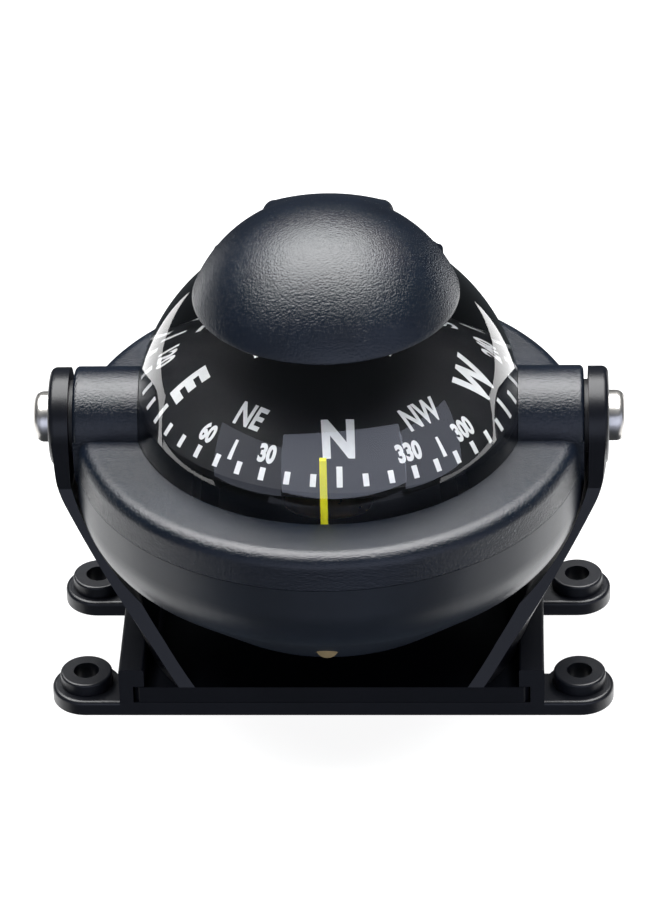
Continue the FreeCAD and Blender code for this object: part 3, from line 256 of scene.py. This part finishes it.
BLUE_BLACK = (0.0025, 0.0042, 0.0078)
MATERIALS = {
    "base_plastic": plastic("base_plastic", (0.002, 0.0025, 0.0044), 0.34, 0.0003, 0.00003, 0.34),
    "yoke_plastic": plastic("yoke_plastic", (0.0018, 0.0022, 0.0038), 0.32, 0.0003, 0.00003, 0.26),
    "housing_textured": plastic("housing_textured", BLUE_BLACK, 0.24, 0.0004, 0.00026, 0.4),
    "hood_textured": plastic("hood_textured", BLUE_BLACK, 0.24, 0.0004, 0.00026, 0.4),
    "bowl_satin": plastic("bowl_satin", (0.004, 0.0062, 0.0105), 0.34, 0.00022, 0.00002, 0.42),
    "capsule_black": plastic("capsule_black", (0.0025, 0.0027, 0.004), 0.5, 0.0003, 0.00001, 0.2),
    "washer_nylon": plastic("washer_nylon", (0.012, 0.012, 0.014), 0.5, 0.0004, 0.00002),
    "rubber": plastic("rubber", (0.012, 0.012, 0.013), 0.7, 0.0005, 0.00004, 0.3),
    "card_black": plastic("card_black", (0.0028, 0.003, 0.0045), 0.6, 0.0003, 0.00001, 0.2),
    "float_plastic": plastic("float_plastic", (0.02, 0.02, 0.024), 0.5, 0.0004, 0.00002),
    "board_green": plastic("board_green", (0.02, 0.12, 0.05), 0.4, 0.0006, 0.00002),
    "led_red": plastic("led_red", (0.5, 0.02, 0.015), 0.2, 0.0008, 0.00001),
    "jewel": plastic("jewel", (0.45, 0.03, 0.08), 0.12, 0.0008, 0.00001),
    # the lubber mark's 0.2 emission is painted light: it glows though it is no lamp
    "lubber_yellow": ink("lubber_yellow", (0.9, 0.85, 0.02), 0.2),
    "stainless": metal("stainless", (0.66, 0.64, 0.61), 0.3, 900),
    "small_steel": metal("small_steel", (0.55, 0.55, 0.56), 0.3, 1500),
    "spring_steel": metal("spring_steel", (0.5, 0.51, 0.53), 0.25, 1500),
    "brass": metal("brass", (0.75, 0.55, 0.27), 0.28, 1200),
    "magnet": metal("magnet", (0.25, 0.25, 0.27), 0.45, 900),
    "lens_clear": clear_liquid("lens_clear"),
    "ink_white": ink("ink_white", (0.72, 0.73, 0.74)),
}


def dress_cad_nodes():
    for entry in frame["record"]["subparts"]:
        obj = NODES[entry["node"]]
        obj.data.materials.clear()
        obj.data.materials.append(MATERIALS[entry["material_slot"]])


# ---- lens and liquid --------------------------------------------------------------------------
def build_lens():
    """Dome, its clamped flange and the liquid behind it as one clear body, closed inside the capsule."""
    start_deg = math.degrees(math.asin(FLANGE_TOP_Z / LENS_R))
    dome = arc_points((0, 0), LENS_R, 90, start_deg, 60)
    bowl = arc_points((0, 0), CHAMBER_R, CHAMBER_START_DEG, CHAMBER_END_DEG, 14)
    profile = [(0.0, LENS_R)] + dome[1:]
    profile += [(FLANGE_R, FLANGE_TOP_Z), (FLANGE_R, FLANGE_BOTTOM_Z), (FLANGE_INNER_R, FLANGE_BOTTOM_Z)]
    profile += bowl + [(0.0, bowl[-1][1])]
    lens = lathe("lens_and_liquid", profile, 256)
    lens.data.materials.append(MATERIALS["lens_clear"])
    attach(lens, "housing")
    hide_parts("lens_dome")


# ---- card print -------------------------------------------------------------------------------
def card_matrix():
    """Card frame at rest: Z along the card's spin axis, -Y towards the north mark."""
    spin = Vector(JOINTS["card_turn"]["axis"]).normalized()
    fore = Vector(JOINTS["gimbal_roll"]["axis"]).normalized()
    side = fore.cross(spin).normalized()
    fore = spin.cross(side)
    basis = Matrix((side, fore, spin)).transposed().to_4x4()
    return Matrix.Translation(AXIS) @ basis @ Matrix.Rotation(math.radians(CARD_TURN_DEG), 4, "Z")


def on_card(bearing_deg, radius, across, up):
    """Card-frame point on the dome: a tangent sheet at (bearing, radius) pressed onto the sphere."""
    angle = math.radians(bearing_deg)
    outward = Vector((-math.sin(angle), -math.cos(angle), 0))
    right = Vector((math.cos(angle), -math.sin(angle), 0))
    lean = math.asin(radius / CARD_DOME_R)
    normal = outward * math.sin(lean) + Vector((0, 0, math.cos(lean)))
    climb = Vector((0, 0, math.sin(lean))) - outward * math.cos(lean)
    point = normal * CARD_DOME_R + right * across + climb * up
    return point.normalized() * (CARD_DOME_R + INK_LIFT) + Vector((0, 0, CARD_DOME_Z))


def cut_fine(triangles):
    """Split triangles at the middle of their longest side until none is longer than INK_FACET."""
    done, todo = [], list(triangles)
    while todo:
        a, b, c = todo.pop()
        sides = ((a, b, c), (b, c, a), (c, a, b))
        length, p, q, r = max((math.dist(start, end), start, end, apex) for start, end, apex in sides)
        if length <= INK_FACET:
            done.append((p, q, r))
            continue
        middle = ((p[0] + q[0]) / 2, (p[1] + q[1]) / 2)
        todo += [(p, middle, r), (middle, q, r)]
    return done


def print_sheet(bm, matrix, bearing, radius, triangles):
    """Add flat (across, up) triangles, pressed onto the card."""
    made = {}
    for corners in cut_fine(triangles):
        verts = []
        for corner in corners:
            key = (round(corner[0], 4), round(corner[1], 4))
            if key not in made:
                made[key] = bm.verts.new(matrix @ (on_card(bearing, radius, *key) * MM))
            verts.append(made[key])
        if len(set(verts)) == 3:
            bm.faces.new(verts)


def bar_triangles(high, low_half, high_half):
    """A tapered bar standing on the up axis."""
    corners = ((-low_half, 0.0), (low_half, 0.0), (high_half, high), (-high_half, high))
    return [corners[:3], (corners[0], corners[2], corners[3])]


# ticks reach from one radius on the card to another
TICK_OUT = 27.41
TICK_IN = 25.96
CARDINAL_IN = 24.97        # N, E, S and W have longer ticks
TICK_HALF = 0.53
SLIM_OUT = 26.11           # the tapered marks between them
SLIM_IN = 23.54
SLIM_OUTER_HALF = 0.42
SLIM_INNER_HALF = 0.28


def arc_length(radius):
    """Distance over the card from its centre to a radius."""
    return CARD_DOME_R * math.asin(radius / CARD_DOME_R)


def build_ticks(matrix):
    bm = bmesh.new()
    for bearing in range(0, 360, 10):
        inner = CARDINAL_IN if bearing % 90 == 0 else TICK_IN
        reach = arc_length(TICK_OUT) - arc_length(inner)
        print_sheet(bm, matrix, bearing, TICK_OUT, bar_triangles(reach, TICK_HALF, TICK_HALF))
    for bearing in range(45, 360, 90):
        reach = arc_length(SLIM_OUT) - arc_length(SLIM_IN)
        bar = bar_triangles(reach, SLIM_OUTER_HALF, SLIM_INNER_HALF)
        print_sheet(bm, matrix, bearing, SLIM_OUT, bar)
    return bm


def glyph_triangles(text, height, width_scale, weight):
    """Triangles of a word in the built-in font, centred on the origin."""
    curve = bpy.data.curves.new("glyph", "FONT")
    curve.body = text
    curve.align_x = "CENTER"
    curve.offset = weight
    curve.resolution_u = 6
    obj = bpy.data.objects.new("glyph", curve)
    bpy.context.scene.collection.objects.link(obj)
    bpy.context.view_layer.update()
    mesh = bpy.data.meshes.new_from_object(obj.evaluated_get(bpy.context.evaluated_depsgraph_get()))
    bpy.data.objects.remove(obj)
    bm = bmesh.new()
    bm.from_mesh(mesh)
    bmesh.ops.triangulate(bm, faces=bm.faces)
    xs = [v.co.x for v in bm.verts]
    ys = [v.co.y for v in bm.verts]
    middle_x = (min(xs) + max(xs)) / 2
    middle_y = (min(ys) + max(ys)) / 2
    scale = height / (max(ys) - min(ys))
    triangles = []
    for face in bm.faces:
        corners = [((v.co.x - middle_x) * scale * width_scale, (v.co.y - middle_y) * scale)
                   for v in face.verts]
        triangles.append(tuple(corners))
    bm.free()
    bpy.data.meshes.remove(mesh)
    return triangles


# (height, radius of the middle) of the letters on the card
NORTH_PRINT = (7.5, 21.2)
LETTER_PRINT = (7.2, 21.5)
POINT_PRINT = (4.5, 19.87)
NUMBER_PRINT = (3.6, 24.2)
LETTER_WIDTH = 6.0         # the same for tall and lower letters
SMALL_WIDTH = 0.7          # narrows the points and numbers
LETTER_WEIGHT = 0.045      # thickens the font's strokes
POINT_WEIGHT = 0.03
NUMBER_WEIGHT = 0.05
LETTERS = {0: "N", 90: "E", 180: "S", 270: "W"}
POINTS = {45: "NE", 135: "SE", 225: "SW", 315: "NW"}


def build_letters(matrix):
    bm = bmesh.new()
    for bearing, text in LETTERS.items():
        height, radius = NORTH_PRINT if text == "N" else LETTER_PRINT
        letter = glyph_triangles(text, height, LETTER_WIDTH / height, LETTER_WEIGHT)
        print_sheet(bm, matrix, bearing, radius, letter)
    height, radius = POINT_PRINT
    for bearing, text in POINTS.items():
        print_sheet(bm, matrix, bearing, radius, glyph_triangles(text, height, SMALL_WIDTH, POINT_WEIGHT))
    height, radius = NUMBER_PRINT
    for bearing in range(30, 360, 30):
        if bearing % 90:
            number = glyph_triangles(str(bearing), height, SMALL_WIDTH, NUMBER_WEIGHT)
            print_sheet(bm, matrix, bearing, radius, number)
    return bm


def build_card_print():
    matrix = card_matrix()
    for name, bm in (("card_ticks", build_ticks(matrix)), ("card_letters", build_letters(matrix))):
        obj = mesh_object(name, bm, smooth_deg=0)
        obj.data.materials.append(MATERIALS["ink_white"])
        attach(obj, "card")


# ---- hood -------------------------------------------------------------------------------------
HOOD_R = 28.55
HOOD_CENTRE_Z = 18.4
HOOD_WALL = 2.3
HOOD_RIM_R = 26.4
HOOD_GAP = 0.15            # between the hood and the lens
HOOD_LIP = 0.12            # flat on the rim's lower edge
HOOD_LIP_R = 0.4           # from the rim in to where it follows the lens


def build_hood():
    """Domed cap whose inside rests over the lens."""
    centre = (0.0, HOOD_CENTRE_Z)
    rim_deg = math.degrees(math.acos(HOOD_RIM_R / HOOD_R))
    lens_gap = LENS_R + HOOD_GAP
    lip_z = math.sqrt(lens_gap ** 2 - HOOD_RIM_R ** 2)
    profile = [(0.0, HOOD_CENTRE_Z + HOOD_R)] + arc_points(centre, HOOD_R, 90, rim_deg, 48)[1:]
    profile += [(HOOD_RIM_R, lip_z + HOOD_LIP), (HOOD_RIM_R - HOOD_LIP, lip_z)]
    inner = HOOD_R - HOOD_WALL
    meet_z = (lens_gap ** 2 - inner ** 2 + HOOD_CENTRE_Z ** 2) / (2 * HOOD_CENTRE_Z)
    meet_deg = math.degrees(math.asin((meet_z - HOOD_CENTRE_Z) / inner))
    start = math.degrees(math.acos((HOOD_RIM_R - HOOD_LIP_R) / lens_gap))
    end = math.degrees(math.asin(meet_z / lens_gap))
    profile += arc_points((0, 0), lens_gap, start, end, 8)
    profile += arc_points(centre, inner, meet_deg, 90, 24)[1:-1] + [(0.0, HOOD_CENTRE_Z + inner)]
    hood = lathe("hood_dome", profile, 224)
    hood.data.materials.append(MATERIALS["hood_textured"])
    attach(hood, "housing")
    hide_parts("hood_cap")


# ---- stage, light and camera ------------------------------------------------------------------
FLOOR_HALF = 6.0
FLOOR_GLOW = 0.92          # keeps the shadow on the pale floor faint


def build_floor():
    """Pale floor that the plastics don't mirror and the low panels shine through."""
    bm = bmesh.new()
    bmesh.ops.create_grid(bm, x_segments=1, y_segments=1, size=FLOOR_HALF)
    floor = mesh_object("studio_floor", bm, smooth_deg=0)
    m = Nodes("studio_floor")
    m.link(m.ramp(m.noise(4, 2), [(0.3, (0.18, 0.18, 0.18)), (0.7, (0.2, 0.2, 0.2))]),
           m.shader.inputs["Base Color"])
    m.shader.inputs["Emission Color"].default_value = (1.0, 1.0, 1.0, 1.0)
    m.shader.inputs["Emission Strength"].default_value = FLOOR_GLOW
    m.shader.inputs["Roughness"].default_value = 0.9
    m.shader.inputs["Specular IOR Level"].default_value = 0.1
    floor.data.materials.append(m.material)
    floor.visible_glossy = False
    floor.visible_shadow = False


def softbox(name, size, radiance, place, aim, colour):
    """Flat rectangular light with an even radiance, facing a point."""
    data = bpy.data.lights.new(name, "AREA")
    data.shape = "RECTANGLE"
    data.size, data.size_y = size
    data.energy = radiance * math.pi * size[0] * size[1]
    data.color = colour
    light = bpy.data.objects.new(name, data)
    light.location = place
    light.rotation_euler = (Vector(aim) - Vector(place)).to_track_quat("-Z", "Y").to_euler()
    bpy.context.scene.collection.objects.link(light)


PANEL_RANGE = 1.6          # metres from the lens centre
OVERHEAD_SIZE = (1.44, 1.03)
OVERHEAD_RISE = 0.9
OVERHEAD_X = -0.05
OVERHEAD_Y = 0.26
OVERHEAD_RADIANCE = 13.5
COOL = (0.88, 0.95, 1.2)
NEUTRAL = (1, 1, 1)
# name, turn from the front (+ to the right), rise, width and height in degrees, radiance, colour
PANELS = (
    ("front_centre", 10, 4, 70, 40, 1.2, COOL),
    ("front_left", -45, -2, 40, 30, 0.5, COOL),
    ("front_right", 62, -1, 36, 34, 0.8, COOL),
    ("front_low", 5, -30, 70, 18, 0.22, COOL),
    ("left_low", -86, -40, 40, 40, 1.3, NEUTRAL),
    ("left_back", -131, -30, 44, 48, 1.7, NEUTRAL),
    ("right_low", 86, -40, 40, 40, 1.3, NEUTRAL),
    ("right_back", 131, -30, 44, 48, 2.2, NEUTRAL),
)


def panel(name, turn_deg, rise_deg, width_deg, height_deg, radiance, colour):
    """Softbox placed and sized by the angles at which the lens centre sees it."""
    turn, rise = math.radians(turn_deg), math.radians(rise_deg)
    toward = Vector((math.sin(turn) * math.cos(rise), -math.cos(turn) * math.cos(rise), math.sin(rise)))
    width = 2 * PANEL_RANGE * math.tan(math.radians(width_deg / 2))
    height = 2 * PANEL_RANGE * math.tan(math.radians(height_deg / 2))
    softbox(name, (width, height), radiance, AXIS + toward * PANEL_RANGE, AXIS, colour)


def build_light():
    place = (OVERHEAD_X, OVERHEAD_Y, AXIS.z + OVERHEAD_RISE)
    softbox("overhead", OVERHEAD_SIZE, OVERHEAD_RADIANCE, place, (OVERHEAD_X, OVERHEAD_Y, 0.0), NEUTRAL)
    for settings in PANELS:
        panel(*settings)
    world = bpy.data.worlds.new("studio")
    world.use_nodes = True
    world.node_tree.nodes["Background"].inputs["Color"].default_value = (0.8, 0.9, 1.0, 1.0)
    world.node_tree.nodes["Background"].inputs["Strength"].default_value = 0.05
    bpy.context.scene.world = world
    bpy.context.scene.view_settings.view_transform = "Standard"


# angles in radians, range in metres from the lens centre
CAMERA_AZ = 0.0459
CAMERA_EL = 0.5796
CAMERA_ROLL = -0.0277
CAMERA_RANGE = 0.91325
CAMERA_LENS = 182.2
CAMERA_SENSOR = 36.0
CAMERA_SHIFT = (0.0008, -0.0381)


def build_camera():
    cos_az, sin_az = math.cos(CAMERA_AZ), math.sin(CAMERA_AZ)
    cos_el, sin_el = math.cos(CAMERA_EL), math.sin(CAMERA_EL)
    forward = Vector((-sin_az * cos_el, cos_az * cos_el, -sin_el))
    right = Vector((cos_az, sin_az, 0))
    up = Vector((-sin_az * sin_el, cos_az * sin_el, cos_el))
    cos_roll, sin_roll = math.cos(CAMERA_ROLL), math.sin(CAMERA_ROLL)
    rolled_right = right * cos_roll + up * sin_roll
    rolled_up = up * cos_roll - right * sin_roll
    data = bpy.data.cameras.new("camera")
    data.lens = CAMERA_LENS
    data.sensor_width = CAMERA_SENSOR
    data.shift_x, data.shift_y = CAMERA_SHIFT
    data.clip_start = 0.01
    data.clip_end = 20.0
    camera = bpy.data.objects.new("camera", data)
    basis = Matrix((rolled_right, rolled_up, -forward)).transposed().to_4x4()
    camera.matrix_world = Matrix.Translation(AXIS - forward * CAMERA_RANGE) @ basis
    bpy.context.scene.collection.objects.link(camera)
    bpy.context.scene.camera = camera


dress_cad_nodes()
build_lens()
build_card_print()
build_hood()
build_floor()
build_light()
build_camera()
